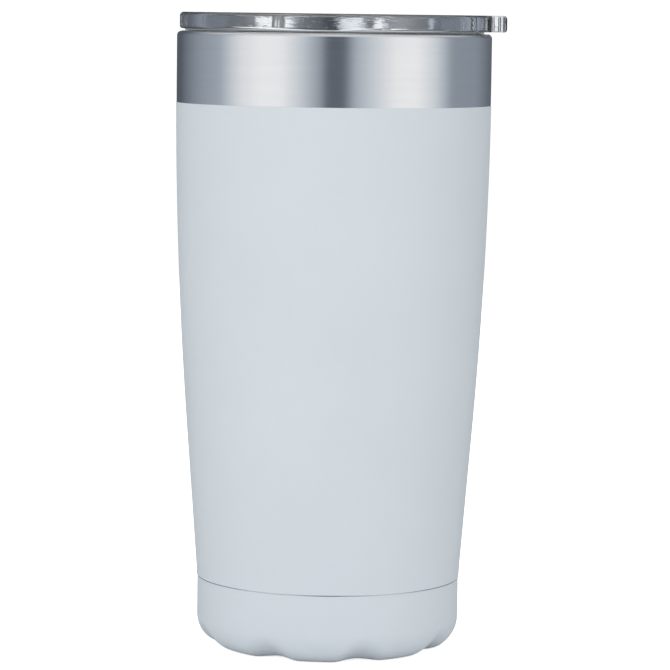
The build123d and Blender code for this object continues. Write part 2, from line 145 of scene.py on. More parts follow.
class LidSizes(bpy.types.PropertyGroup):
    """Sizes of the clear lid and its gasket."""

    radius: length("Flange radius", "Radius of the flange", 0.043)
    underside: length("Flange underside", "Height of the flange's underside", FLANGE_UNDERSIDE)
    top: length("Top", "Height of the lid's top", LID_TOP)
    top_edge: length("Top edge", "Roundness of the upper edges", 0.001)
    low_edge: length("Lower edge", "Roundness of the flange's lower edge", 0.0008)
    skirt_radius: length("Skirt radius", "Outside radius of the skirt", 0.0386)
    well_radius: length("Well radius", "Radius of the well and inside of the skirt", 0.037)
    skirt_low: length("Skirt end", "Height of the skirt's lower end", FLANGE_UNDERSIDE - 0.011)
    floor_top: length("Floor top", "Height of the floor's upper face", FLANGE_UNDERSIDE - 0.0012)
    floor: length("Floor", "Thickness of the floor", 0.0018)
    tab_reach: length("Tab reach", "Pull tab beyond the flange", 0.0046)
    tab_width: length("Tab width", "Width of the pull tab", 0.016)
    tab_corner: length("Tab corner", "Roundness of the tab's corners", 0.0017)
    opening_centre: length("Opening centre", "Drink opening from the axis", 0.0292)
    opening_length: length("Opening length", "Drink opening along X", 0.009)
    opening_width: length("Opening width", "Drink opening along Y", 0.018)
    opening_corner: length("Opening corner", "Roundness of the opening's corners", 0.003)
    vent_centre: length("Vent centre", "Vent from the axis", 0.031)
    vent_radius: length("Vent radius", "Radius of the vent", 0.0016)
    rail_end: length("Rail end", "Inner end of the rails along X", 0.007)
    rail_inside: length("Rail inside", "Rails' inner faces from the middle", 0.01215)
    rail_lip: length("Rail lip", "Lips' inner edges from the middle", 0.01065)
    rail_thickness: length("Rail thickness", "Thickness of a rail", 0.0016)
    rail_lip_low: length("Lip underside", "Lips' underside above the floor", 0.0014)
    rail_lip_height: length("Lip height", "Height of a lip", 0.0009)
    stop_height: length("Stop height", "Height of the stop", 0.0016)
    stop_width: length("Stop width", "Width of the stop", 0.012)
    groove_low: length("Groove", "Lower face of the gasket groove", FLANGE_UNDERSIDE - 0.0092)
    groove_height: length("Groove height", "Height of the gasket groove", 0.002)
    groove_depth: length("Groove depth", "Depth of the gasket groove", 0.0008)
    gasket_wall: length("Gasket wall", "Thickness of the gasket's sleeve", 0.0009)
    gasket_depth: length("Gasket depth", "Length of the gasket's sleeve", 0.0096)
    gasket_lip: length("Gasket lip", "Thickness of the gasket's top lip", 0.0004)
    gasket_lip_radius: length("Gasket lip radius", "Radius of the gasket's top lip", 0.0416)
    low_fin: length("Lower fin", "Lower fin below the flange", 0.008)
    high_fin: length("Upper fin", "Upper fin below the flange", 0.0048)
    fin_radius: length("Fin radius", "Radius of the gasket's fins", 0.0401)
    fin_thickness: length("Fin thickness", "Thickness of a fin", 0.0007)


class SliderSizes(bpy.types.PropertyGroup):
    """Sizes of the slider and its seal."""

    underside: length("Underside", "Height of the slider's underside", FLANGE_UNDERSIDE - 0.00095)
    width: length("Width", "Width across the side flanges", 0.024)
    flange: length("Side flange", "Thickness of the side flanges", 0.001)
    inset: length("Inset", "Body's side inside the side flange", 0.0015)
    height: length("Body height", "Height of the body", 0.00215)
    inner_end: length("Inner end", "Inner end from the axis", 0.013)
    end_radius: length("End radius", "Radius of the curved outer end", 0.0357)
    ridge_length: length("Ridge length", "Thumb ridge along X", 0.0032)
    ridge_width: length("Ridge width", "Thumb ridge along Y", 0.014)
    ridge_top: length("Ridge top", "Height of the thumb ridge", LID_TOP - 0.0005)
    rib_pitch: length("Rib pitch", "Distance from rib to rib", 0.0024)
    rib_height: length("Rib height", "Height of a grip rib", 0.0005)
    ribs: IntProperty(name="Ribs", description="Number of grip ribs", default=3, min=0, max=5)
    seal_border: length("Seal border", "Seal beyond the drink opening", 0.00175)
    seal_thickness: length("Seal thickness", "Thickness of the seal", 0.0009)
    seal_proud: length("Seal proud", "Seal below the slider's underside", 0.0002)


class FinishColours(bpy.types.PropertyGroup):
    """Colours of the materials."""

    coat: colour("Powder coat", "Pale grey-blue powder coating", (0.665, 0.723, 0.768))
    steel: colour("Steel", "Brushed stainless steel", (0.70, 0.71, 0.72))
    liner: colour("Liner steel", "Satin steel of the liner", (0.80, 0.81, 0.82))
    # Painted shade: the colour that the steel in the seam's gap is multiplied by.
    weld: colour("Weld tint", "Darkening of the steel in the seam", (0.75, 0.77, 0.80))
    clear: colour("Lid plastic", "Clear lid plastic, seen through", (0.955, 0.965, 0.97))
    smoke: colour("Slider plastic", "Slider plastic, seen through", (0.84, 0.86, 0.88))
    silicone: colour("Silicone", "Gasket and seal", (0.50, 0.52, 0.54))
    foil: colour("Foil", "Copper foil in the vacuum space", (0.80, 0.42, 0.26))


class StudioSettings(bpy.types.PropertyGroup):
    """Camera and light."""

    distance: length("Distance", "Camera to the cup's axis", 0.925, 0.1, 5.0)
    height: length("Height", "Camera above the floor", LID_TOP, 0.0, 5.0)
    aim_x: length("Aim", "Where the camera looks, sideways", 0.0012, -1.0)
    pitch: FloatProperty(name="Pitch", description="Downward tilt in degrees", default=5.537)
    roll: FloatProperty(name="Roll", description="Camera's roll in degrees", default=0.75)
    lens: FloatProperty(name="Lens", description="Focal length in millimetres", default=178.1)
    surround: FloatProperty(name="Surround", description="Brightness of the surroundings", default=1.0)


# The surround's brightness by compass angle in degrees, first from the front, then from straight
# behind the cup. Each lamp is a name, where it stands, the height that it faces, its size and power.
STRIPS_AROUND = [
    (-180, 0.10), (-150, 0.12), (-132, 0.25), (-112, 0.40), (-91, 0.50), (-72, 0.96), (-54, 1.12),
    (-38, 1.10), (-24, 0.80), (-8.5, 0.38), (-5.5, 0.15), (7.5, 0.15), (11, 0.34), (15, 0.56),
    (30, 0.84), (45.5, 1.10), (62, 1.12), (78, 0.86), (95, 0.37), (125, 0.35), (150, 0.19), (180, 0.10),
]
STRIPS_BEHIND = [
    (-12, 0.08), (-6.4, 0.06), (-5.8, 0.95), (-2.9, 0.95), (-2.6, 0.35), (-2.2, 0.06), (0.1, 0.06),
    (0.5, 0.9), (1.6, 0.9), (1.9, 0.07), (2.5, 0.07), (2.65, 1.0), (3.2, 1.0), (3.4, 0.20),
    (5.4, 0.15), (6.6, 0.06), (8.6, 0.06), (8.9, 0.45), (9.5, 0.45), (9.8, 0.08), (12, 0.08),
]
LAMPS = [
    ("key", (-0.36, -1.15, 0.45), 0.08, 0.9, 2.6),
    ("fill", (0.75, -0.95, 0.45), 0.08, 0.8, 0.3),
    ("top", (0.0, 0.1, 1.3), 0.0, 1.6, 2.6),
    ("rear", (0.1, 1.2, 0.7), 0.08, 0.9, 2.6),
]

# Sections and meshes


def rounded(corners, steps=7, closed=False):
    """A section whose corners are rounded.

    Each row holds across, up and radius. A corner's arc touches both its edges at a distance
    of the radius divided by the tangent of half the corner's angle, and turns about the point
    on the corner's bisector that is as far from both edges as the radius.
    """
    data = np.array(corners, float)
    place, radius = data[:, :2], data[:, 2].copy()
    before = np.roll(place, 1, 0) - place
    after = np.roll(place, -1, 0) - place
    if not closed:
        before[0], after[-1] = -after[0] + (0, 1e-9), -before[-1] + (0, 1e-9)
        radius[[0, -1]] = 0
    before /= np.linalg.norm(before, axis=1)[:, None]
    after /= np.linalg.norm(after, axis=1)[:, None]
    half = np.arccos(np.clip((before * after).sum(1), -1, 1)) / 2
    half = np.clip(half, 1e-6, np.pi / 2 - 1e-6)
    bisector = before + after
    bisector /= np.maximum(np.linalg.norm(bisector, axis=1), 1e-12)[:, None]
    centre = place + bisector * (radius / np.sin(half))[:, None]
    touch = (radius / np.tan(half))[:, None]
    first, last = place + before * touch - centre, place + after * touch - centre
    sweep = (np.pi - 2 * half)[:, None, None]
    share = np.linspace(0, 1, steps + 1)[None, :, None]
    turn = np.sin((1 - share) * sweep) * first[:, None] + np.sin(share * sweep) * last[:, None]
    points = (centre[:, None] + turn / np.sin(sweep)).reshape(-1, 2)
    keep = np.ones(len(points), bool)
    keep[1:] = np.linalg.norm(np.diff(points, axis=0), axis=1) > 1e-8
    return points[keep]


def supported(section, gap=0.00012, closed=False):
    """Adds a point a small gap inside both ends of each long run, so that flats shade flat."""
    ends = np.roll(section, -1, 0) if closed else np.vstack([section[1:], section[-1:]])
    run = ends - section
    size = np.linalg.norm(run, axis=1)
    step = run * np.where(size > 5 * gap, gap / np.maximum(size, 1e-12), 0)[:, None]
    points = np.stack([section, section + step, ends - step], 1).reshape(-1, 2)
    if not closed:
        points = points[:-2]
    keep = np.ones(len(points), bool)
    keep[1:] = np.linalg.norm(np.diff(points, axis=0), axis=1) > 1e-8
    return points[keep]


def offset_line(line, distance):
    """The line moved sideways, each point along the normal to the line's direction there."""
    along = np.gradient(line, axis=0)
    along /= np.linalg.norm(along, axis=1)[:, None]
    return line + distance * np.column_stack([along[:, 1], -along[:, 0]])


def turned(section, segments):
    """Rings of a section turned about Z: (across cos a, across sin a, up)."""
    angle = np.linspace(0, 2 * np.pi, segments, endpoint=False)
    across, up = section[:, :1], np.broadcast_to(section[:, 1:], (len(section), segments))
    return np.stack([across * np.cos(angle), across * np.sin(angle), up], 2)


def skin(name, rings, loop=False):
    """A closed mesh through rings of points, as a new object.

    Neighbouring rings are joined by quads. With loop the last ring joins the first, and
    without it both end rings are closed by a fan to their middle. Faces are turned outwards by
    the sign of the volume, the sum over triangles of a dot (b cross c) over six.
    """
    count, around = rings.shape[:2]
    points = rings.reshape(-1, 3)
    row = np.arange(count if loop else count - 1)[:, None] * around
    column = np.arange(around)[None, :]
    beside = (column + 1) % around
    above = (row + around) % (count * around)
    quads = np.stack([row + column, row + beside, above + beside, above + column], 2).reshape(-1, 4)
    tris = np.zeros((0, 3), int)
    if not loop:
        low, high = len(points), len(points) + 1
        points = np.vstack([points, rings[0].mean(0), rings[-1].mean(0)])
        column, beside = column[0], beside[0]
        top = (count - 1) * around
        tris = np.vstack([
            np.column_stack([beside, column, np.full(around, low)]),
            np.column_stack([top + column, top + beside, np.full(around, high)]),
        ])
    halves = np.vstack([quads[:, [0, 1, 2]], quads[:, [0, 2, 3]], tris])
    a, b, c = (points[halves[:, i]] for i in range(3))
    if (a * np.cross(b, c)).sum() < 0:
        quads, tris = quads[:, ::-1], tris[:, ::-1]
    mesh = bpy.data.meshes.new(name)
    mesh.vertices.add(len(points))
    mesh.vertices.foreach_set("co", points.astype(np.float32).ravel())
    corners = np.concatenate([quads.ravel(), tris.ravel()])
    totals = np.concatenate([np.full(len(quads), 4), np.full(len(tris), 3)])
    mesh.loops.add(len(corners))
    mesh.loops.foreach_set("vertex_index", corners.astype(np.int32))
    mesh.polygons.add(len(totals))
    starts = np.concatenate([[0], np.cumsum(totals)[:-1]])
    mesh.polygons.foreach_set("loop_start", starts.astype(np.int32))
    mesh.update(calc_edges=True)
    mesh.validate()
    made = bpy.data.objects.new(name, mesh)
    bpy.context.scene.collection.objects.link(made)
    return made


def combine(target, tool, how):
    """Joins, cuts or intersects two closed meshes, leaves the result in target and drops tool."""
    change = target.modifiers.new(how.lower(), "BOOLEAN")
    change.operation, change.solver, change.object = how, "MANIFOLD", tool
    evaluated = target.evaluated_get(bpy.context.evaluated_depsgraph_get())
    result = bpy.data.meshes.new_from_object(evaluated)
    if len(result.polygons) == 0:
        raise RuntimeError(f"{how} left nothing of {target.name}")
    target.modifiers.clear()
    spent, target.data = target.data, result
    bpy.data.meshes.remove(spent)
    worn = tool.data
    bpy.data.objects.remove(tool)
    bpy.data.meshes.remove(worn)
    return target


def place(made, body, slot, material, *nodes, sharp=35.0):
    """Finishes a piece: smooth shading up to the sharp angle, material, body and CAD nodes."""
    mesh = made.data
    mesh.materials.clear()
    mesh.materials.append(material)
    mesh.polygons.foreach_set("use_smooth", np.ones(len(mesh.polygons), bool))
    mesh.set_sharp_from_angle(angle=np.radians(sharp))
    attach(made, body)
    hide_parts(*nodes)
    return made


def plan_box(size_x, size_y, corner, centre, inset, steps=8):
    """Plan outlines of a rounded rectangle, one for each inset, with the same points on each.

    Every point is a corner's centre plus (corner minus inset) times (cos a, sin a).
    """
    inset = np.atleast_1d(inset)[:, None]
    corner = min(corner, size_x / 2 - 1e-6, size_y / 2 - 1e-6)
    quarter = np.linspace(0, np.pi / 2, steps + 1)
    angle = np.concatenate([quarter + i * np.pi / 2 for i in range(4)])[None]
    side_x = np.repeat([1, -1, -1, 1], steps + 1)[None]
    side_y = np.repeat([1, 1, -1, -1], steps + 1)[None]
    reach = np.maximum(corner - inset, 1e-6)
    pull = np.maximum(inset - corner, 0)
    x = centre[0] + side_x * (size_x / 2 - corner - pull) + reach * np.cos(angle)
    y = centre[1] + side_y * (size_y / 2 - corner - pull) + reach * np.sin(angle)
    return np.stack([x, y], 2)


def stacked(outlines, heights):
    """Rings from plan outlines, each lifted to its height."""
    up = np.broadcast_to(np.asarray(heights)[:, None, None], outlines.shape[:2] + (1,))
    return np.concatenate([outlines, up], 2)


def edge_rows(low, high, low_round, high_round, steps=6):
    """Insets and heights of an upright wall with rounded lower and upper edges.

    A rounded edge is a quarter circle: inset r (1 - cos a) against height r (1 - sin a). A
    negative roundness flares outwards, as the edge of a cut does.
    """
    a = np.linspace(0, np.pi / 2, steps + 1)
    inset, up = [], []
    for edge, size, inwards, turn in ((low, low_round, 1, a), (high, high_round, -1, a[::-1])):
        if size:
            inset.append(size * (1 - np.sin(turn)))
            up.append(edge + inwards * abs(size) * (1 - np.cos(turn)))
        else:
            inset.append([0.0])
            up.append([edge])
    return np.concatenate(inset), np.concatenate(up)


def block(name, size_x, size_y, corner, centre, low, high, low_round=0.0, high_round=0.0):
    """An upright rounded block with rounded lower and upper edges."""
    inset, up = edge_rows(low, high, low_round, high_round)
    return skin(name, stacked(plan_box(size_x, size_y, corner, centre, inset), up))


# Materials


def new_material(name):
    """An empty node material with a Principled shader, and its nodes, links and shader."""
    material = bpy.data.materials.new(name)
    material.use_nodes = True
    nodes, links = material.node_tree.nodes, material.node_tree.links
    shader = nodes["Principled BSDF"]
    return material, nodes, links, shader


def new_group(name, inputs, outputs):
    """An empty node group with float inputs and outputs, and its nodes, links and ends."""
    group = bpy.data.node_groups.new(name, "ShaderNodeTree")
    for label, default in inputs:
        socket = group.interface.new_socket(label, in_out="INPUT", socket_type="NodeSocketFloat")
        socket.default_value = default
    for label in outputs:
        group.interface.new_socket(label, in_out="OUTPUT", socket_type="NodeSocketFloat")
    start = group.nodes.new("NodeGroupInput")
    end = group.nodes.new("NodeGroupOutput")
    return group, start, end


def feed(links, value, socket):
    """Feeds a socket from another socket, or sets it to a number or colour."""
    if isinstance(value, bpy.types.NodeSocket):
        links.new(value, socket)
    else:
        socket.default_value = value


def math_node(nodes, links, operation, *values):
    """A math node fed by numbers or sockets, and its output."""
    node = nodes.new("ShaderNodeMath")
    node.operation = operation
    for value, socket in zip(values, node.inputs):
        feed(links, value, socket)
    return node.outputs[0]


def remap(nodes, links, value, low, high, to_low, to_high):
    """A clamped linear remap of a value."""
    node = nodes.new("ShaderNodeMapRange")
    for i, number in enumerate((low, high, to_low, to_high)):
        node.inputs[i + 1].default_value = number
    links.new(value, node.inputs[0])
    return node.outputs[0]


def mix_colours(nodes, links, share, first, second, how="MIX"):
    """Blends two colours by a share of the second."""
    mix = nodes.new("ShaderNodeMix")
    mix.data_type, mix.blend_type = "RGBA", how
    links.new(share, mix.inputs["Factor"])
    feed(links, first, mix.inputs["A"])
    feed(links, second, mix.inputs["B"])
    return mix.outputs["Result"]


def mix_shaders(nodes, links, share, first, second):
    """Blends two shaders by a share of the second."""
    mix = nodes.new("ShaderNodeMixShader")
    for source, socket in zip((share, first, second), mix.inputs):
        links.new(source, socket)
    return mix.outputs[0]


def ray_kind(nodes, kind):
    """One for rays of a kind, such as Is Camera Ray, and zero for others."""
    return nodes.new("ShaderNodeLightPath").outputs[kind]


def grain_group():
    """Fine powder grain: two noises on object coordinates divided by the pitch."""
    if "powder_grain" in bpy.data.node_groups:
        return bpy.data.node_groups["powder_grain"]
    group, start, end = new_group("powder_grain", [("Pitch", 0.0005), ("Patch", 0.03)],
                                  ["Height", "Patchiness"])
    nodes, links = group.nodes, group.links
    where = nodes.new("ShaderNodeTexCoord").outputs["Object"]
    for pitch, output, detail in (("Pitch", "Height", 3.0), ("Patch", "Patchiness", 2.0)):
        scale = math_node(nodes, links, "DIVIDE", 1.0, start.outputs[pitch])
        noise = nodes.new("ShaderNodeTexNoise")
        noise.inputs["Detail"].default_value = detail
        links.new(where, noise.inputs["Vector"])
        links.new(scale, noise.inputs["Scale"])
        links.new(remap(nodes, links, noise.outputs["Fac"], 0.3, 0.7, 0.0, 1.0), end.inputs[output])
    return group


def brush_group():
    """Lines round the axis: noise that varies quickly with height plus a share of the radius.

    The noise is read at (x, y) over the line's length and (z plus share times radius) over
    the pitch.
    """
    if "brush_lines" in bpy.data.node_groups:
        return bpy.data.node_groups["brush_lines"]
    group, start, end = new_group("brush_lines", [("Pitch", 0.0002), ("Length", 0.02), ("Spread", 1.0)],
                                  ["Lines", "Bands"])
    nodes, links = group.nodes, group.links
    split = nodes.new("ShaderNodeSeparateXYZ")
    links.new(nodes.new("ShaderNodeTexCoord").outputs["Object"], split.inputs[0])
    x, y, z = split.outputs
    square = math_node(nodes, links, "ADD", math_node(nodes, links, "MULTIPLY", x, x),
                       math_node(nodes, links, "MULTIPLY", y, y))
    radius = math_node(nodes, links, "SQRT", square)
    spread = math_node(nodes, links, "MULTIPLY", radius, start.outputs["Spread"])
    travel = math_node(nodes, links, "ADD", z, spread)
    for output, factor in (("Lines", 1.0), ("Bands", 9.0)):
        merge = nodes.new("ShaderNodeCombineXYZ")
        links.new(math_node(nodes, links, "DIVIDE", x, start.outputs["Length"]), merge.inputs[0])
        links.new(math_node(nodes, links, "DIVIDE", y, start.outputs["Length"]), merge.inputs[1])
        pitch = math_node(nodes, links, "MULTIPLY", start.outputs["Pitch"], factor)
        links.new(math_node(nodes, links, "DIVIDE", travel, pitch), merge.inputs[2])
        noise = nodes.new("ShaderNodeTexNoise")
        noise.inputs["Scale"].default_value = 1.0
        noise.inputs["Detail"].default_value = 3.0
        links.new(merge.outputs[0], noise.inputs["Vector"])
        links.new(remap(nodes, links, noise.outputs["Fac"], 0.3, 0.7, 0.0, 1.0), end.inputs[output])
    return group


def use_group(nodes, group, **values):
    """A group node in a material with its own input values."""
    node = nodes.new("ShaderNodeGroup")
    node.node_tree = group
    for label, value in values.items():
        node.inputs[label].default_value = value
    return node


def tint(nodes, links, shader, base, mask, dark, light):
    """Base colour between a darker and a lighter version of base, by a mask."""
    darker, lighter = ((*[min(c * share, 1.0) for c in base], 1.0) for share in (dark, light))
    links.new(mix_colours(nodes, links, mask, darker, lighter), shader.inputs["Base Color"])


def roughen(nodes, links, shader, mask, low, high):
    """Roughness between low and high by a mask."""
    links.new(remap(nodes, links, mask, 0.0, 1.0, low, high), shader.inputs["Roughness"])


def bump(nodes, links, shader, height, distance, strength=1.0):
    """A bump of that height in metres on the shader's normal."""
    node = nodes.new("ShaderNodeBump")
    node.inputs["Distance"].default_value = distance
    node.inputs["Strength"].default_value = strength
    links.new(height, node.inputs["Height"])
    links.new(node.outputs["Normal"], shader.inputs["Normal"])


def paint_shade_below(nodes, links, shader, height, depth, dark):
    """Multiplies the base colour by dark below a height, fading out over depth up to it: painted shade, as in
    the gap at a seam.
    """
    split = nodes.new("ShaderNodeSeparateXYZ")
    links.new(nodes.new("ShaderNodeTexCoord").outputs["Object"], split.inputs[0])
    share = remap(nodes, links, split.outputs[2], height - depth, height, 1.0, 0.0)
    before = shader.inputs["Base Color"].links[0].from_socket
    shaded = mix_colours(nodes, links, share, before, (*dark, 1.0), "MULTIPLY")
    links.new(shaded, shader.inputs["Base Color"])


def coat_material(name, base):
    """Matte powder coat with a fine grain and faint unevenness."""
    if name in bpy.data.materials:
        return bpy.data.materials[name]
    material, nodes, links, shader = new_material(name)
    grain = use_group(nodes, grain_group(), Pitch=0.00045, Patch=0.035)
    tint(nodes, links, shader, base, grain.outputs["Patchiness"], 0.985, 1.01)
    roughen(nodes, links, shader, grain.outputs["Height"], 0.46, 0.58)
    shader.inputs["Specular IOR Level"].default_value = 0.35
    bump(nodes, links, shader, grain.outputs["Height"], 0.00003, 0.6)
    return material


def steel_material(name, base, rough, pitch, metallic=1.0, anisotropy=0.7):
    """Steel brushed round the axis, with its highlight drawn out across the brushing."""
    if name in bpy.data.materials:
        return bpy.data.materials[name]
    material, nodes, links, shader = new_material(name)
    shader.inputs["Metallic"].default_value = metallic
    shader.inputs["Anisotropic"].default_value = anisotropy
    tangent = nodes.new("ShaderNodeTangent")
    tangent.direction_type, tangent.axis = "RADIAL", "Z"
    links.new(tangent.outputs[0], shader.inputs["Tangent"])
    brush = use_group(nodes, brush_group(), Pitch=pitch, Length=0.03)
    tint(nodes, links, shader, base, brush.outputs["Bands"], 0.985, 1.01)
    roughen(nodes, links, shader, brush.outputs["Lines"], rough - 0.02, rough + 0.03)
    bump(nodes, links, shader, brush.outputs["Lines"], 0.000004, 0.5)
    return material


def plastic_material(name, base, rough):
    """Clear moulded plastic with faint haze and flow lines, which lets the lamps' light through."""
    if name in bpy.data.materials:
        return bpy.data.materials[name]
    material, nodes, links, shader = new_material(name)
    shader.inputs["Transmission Weight"].default_value = 1.0
    shader.inputs["IOR"].default_value = 1.56
    grain = use_group(nodes, grain_group(), Pitch=0.0016, Patch=0.012)
    tint(nodes, links, shader, base, grain.outputs["Patchiness"], 0.985, 1.01)
    roughen(nodes, links, shader, grain.outputs["Patchiness"], rough, rough + 0.03)
    flow = use_group(nodes, brush_group(), Pitch=0.0011, Length=0.009, Spread=0.0)
    bump(nodes, links, shader, flow.outputs["Lines"], 0.00003, 0.5)
    through = nodes.new("ShaderNodeBsdfTransparent")
    through.inputs["Color"].default_value = (*base, 1.0)
    surface = mix_shaders(nodes, links, ray_kind(nodes, "Is Shadow Ray"), shader.outputs[0],
                          through.outputs[0])
    links.new(surface, nodes["Material Output"].inputs["Surface"])
    return material


def silicone_material(name, base):
    """Soft translucent silicone with a matte moulded skin."""
    if name in bpy.data.materials:
        return bpy.data.materials[name]
    material, nodes, links, shader = new_material(name)
    shader.inputs["Transmission Weight"].default_value = 0.25
    shader.inputs["IOR"].default_value = 1.41
    shader.inputs["Sheen Weight"].default_value = 0.15
    grain = use_group(nodes, grain_group(), Pitch=0.0003, Patch=0.006)
    tint(nodes, links, shader, base, grain.outputs["Patchiness"], 0.95, 1.03)
    roughen(nodes, links, shader, grain.outputs["Height"], 0.38, 0.55)
    bump(nodes, links, shader, grain.outputs["Height"], 0.00001, 0.4)
    return material


def plain_metal(name, base, metallic, rough, pitch):
    """Metal or pressed powder with grain and uneven roughness."""
    if name in bpy.data.materials:
        return bpy.data.materials[name]
    material, nodes, links, shader = new_material(name)
    shader.inputs["Metallic"].default_value = metallic
    grain = use_group(nodes, grain_group(), Pitch=pitch, Patch=pitch * 12)
    tint(nodes, links, shader, base, grain.outputs["Patchiness"], 0.88, 1.05)
    roughen(nodes, links, shader, grain.outputs["Height"], rough - 0.06, rough + 0.08)
    bump(nodes, links, shader, grain.outputs["Height"], pitch * 0.08, 0.6)
    return material


# Shapes


def wall_line(sizes, low, high, rows=110):
    """The steel wall's outer line from low to high, below the shoulder.

    Above the taper's start the radius is the band's. The taper is an arc that leaves the band
    upright, band minus R plus the root of (R squared minus depth squared), and runs on as a
    straight line. From the ease height down it is an arc the other way that ends at the seam.
    """
    bend, lower = sizes.taper_height - sizes.bend_end, sizes.ease_height - sizes.seam_height
    straight = sizes.bend_end - sizes.ease_height
    drop = sizes.band_radius - sizes.seam_radius
    lean = (2 * drop - lower * sizes.ease_slope) / (bend + 2 * straight + lower)
    big = bend / np.sin(lean)
    bend_x = sizes.band_radius - big * (1 - np.cos(lean))
    ease_x = bend_x - straight * np.tan(lean)
    chord = np.array([ease_x - sizes.seam_radius, lower])
    chord_lean = np.arctan2(chord[0], chord[1])
    turn = 2 * (lean - chord_lean)
    small = np.linalg.norm(chord) / (2 * np.sin(turn / 2))
    seam_lean = lean - turn
    centre_x = sizes.seam_radius + small * np.cos(seam_lean)
    centre_z = sizes.seam_height - small * np.sin(seam_lean)
    z = np.linspace(low, high, rows)
    depth = np.clip(sizes.taper_height - z, 0, None)
    taper = sizes.band_radius - big + np.sqrt(big**2 - np.minimum(depth, bend) ** 2)
    taper -= np.clip(sizes.bend_end - z, 0, None) * np.tan(lean)
    ease = centre_x - np.sqrt(small**2 - np.minimum(z - centre_z, small) ** 2)
    return np.column_stack([np.where(z < sizes.ease_height, ease, taper), z])


def flute_depth(sizes, rings, inset):
    """How far each point lies inside the nearest flute, softly cut off at nothing.

    A flute is part of a ring: a circle of the flute's roundness carried along an arc in an
    upright plane. The depth is the roundness minus the distance to that arc, the root of
    (distance to the arc's centre minus its radius) squared plus the sideways offset squared.
    """
    corner_x = sizes.radius - sizes.corner_radius
    reach = np.sqrt(sizes.corner_radius**2 - (sizes.corner_radius - sizes.flute_top) ** 2)
    top, low = np.array([corner_x + reach, sizes.flute_top]), np.array([sizes.flute_inner, 0])
    chord = top - low
    size = np.linalg.norm(chord)
    bend = np.arctan2(chord[1], chord[0]) - np.radians(sizes.flute_run_out)
    line_radius = size / 2 / np.sin(bend)
    outwards = np.array([chord[1], -chord[0]]) / size
    centre = (top + low) / 2 - outwards * line_radius * np.cos(bend)
    path = line_radius + sizes.flute_roundness
    across = np.hypot(rings[..., 0], rings[..., 1])
    pitch = 2 * np.pi / sizes.flutes
    angle = np.arctan2(rings[..., 1], rings[..., 0]) - np.radians(sizes.flute_angle)
    angle = (angle + pitch / 2) % pitch - pitch / 2
    a, b = across * np.cos(angle) - centre[0], across * np.sin(angle)
    from_path = np.hypot(np.hypot(a, rings[..., 2] - centre[1]) - path, b)
    depth = sizes.flute_roundness + inset - from_path
    share = np.clip(0.5 + 0.5 * depth / sizes.flute_blend, 0, 1)
    soft = share * depth + sizes.flute_blend * share * (1 - share)
    return np.where(rings[..., 2] < sizes.radius / 3, np.maximum(soft, 0), 0)


def base_section(sizes, inset):
    """The base cup's section, moved inwards by inset, from the pump hole out and up the wall."""
    s, up = sizes, inset
    corners = [
        (s.hole_radius, s.dimple_height + up, 0),
        (s.dimple_radius + up, s.dimple_height + up, s.dimple_fold + up),
        (s.dimple_radius + up, s.recess_height + up, s.dimple_fold - up),
        (s.foot_radius + up, s.recess_height + up, s.recess_fold + up),
        (s.foot_radius + up, up, s.foot_fold - up),
        (s.radius - up, up, s.corner_radius - up),
        (s.radius - up, SEAM, 0 if inset else s.seam_edge),
    ]
    if not inset:
        corners.append((s.radius - s.sheet, SEAM, 0))
    return np.array(corners)


def flange_outline(sizes, inset):
    """Plan outline of the flange with its pull tab, moved inwards by each inset.

    Half of it is the tab's end, its corner, its straight side, a hollow arc that touches side
    and flange, and the flange's circle. The other half is its mirror image in the XZ plane.
    """
    d = np.atleast_1d(inset)[:, None]
    radius, corner, half = sizes.radius, sizes.tab_corner, sizes.tab_width / 2
    end_x = radius + sizes.tab_reach
    hollow_y = half + corner
    hollow_x = np.sqrt((radius + corner) ** 2 - hollow_y**2)
    meet = np.arctan2(hollow_y, hollow_x)
    flat = np.linspace(0, 1, 13)[None, :-1]
    quarter = np.linspace(0, np.pi / 2, 11)[None]
    side = np.linspace(0, 1, 6)[None, 1:-1]
    hollow = np.linspace(-np.pi / 2, meet - np.pi, 9)[None]
    round_ = np.linspace(meet, np.pi, 171)[None, 1:]
    x = [end_x - d + 0 * flat, end_x - corner + (corner - d) * np.cos(quarter),
         end_x - corner + (hollow_x - end_x + corner) * side + 0 * d,
         hollow_x + (corner + d) * np.cos(hollow), (radius - d) * np.cos(round_)]
    y = [(half - corner) * flat + 0 * d, half - corner + (corner - d) * np.sin(quarter),
         half - d + 0 * side, hollow_y + (corner + d) * np.sin(hollow), (radius - d) * np.sin(round_)]
    x, y = np.concatenate(x, 1), np.concatenate(y, 1)
    x = np.concatenate([x, x[:, -2:0:-1]], 1)
    y = np.concatenate([y, -y[:, -2:0:-1]], 1)
    return np.stack([x, y], 2)


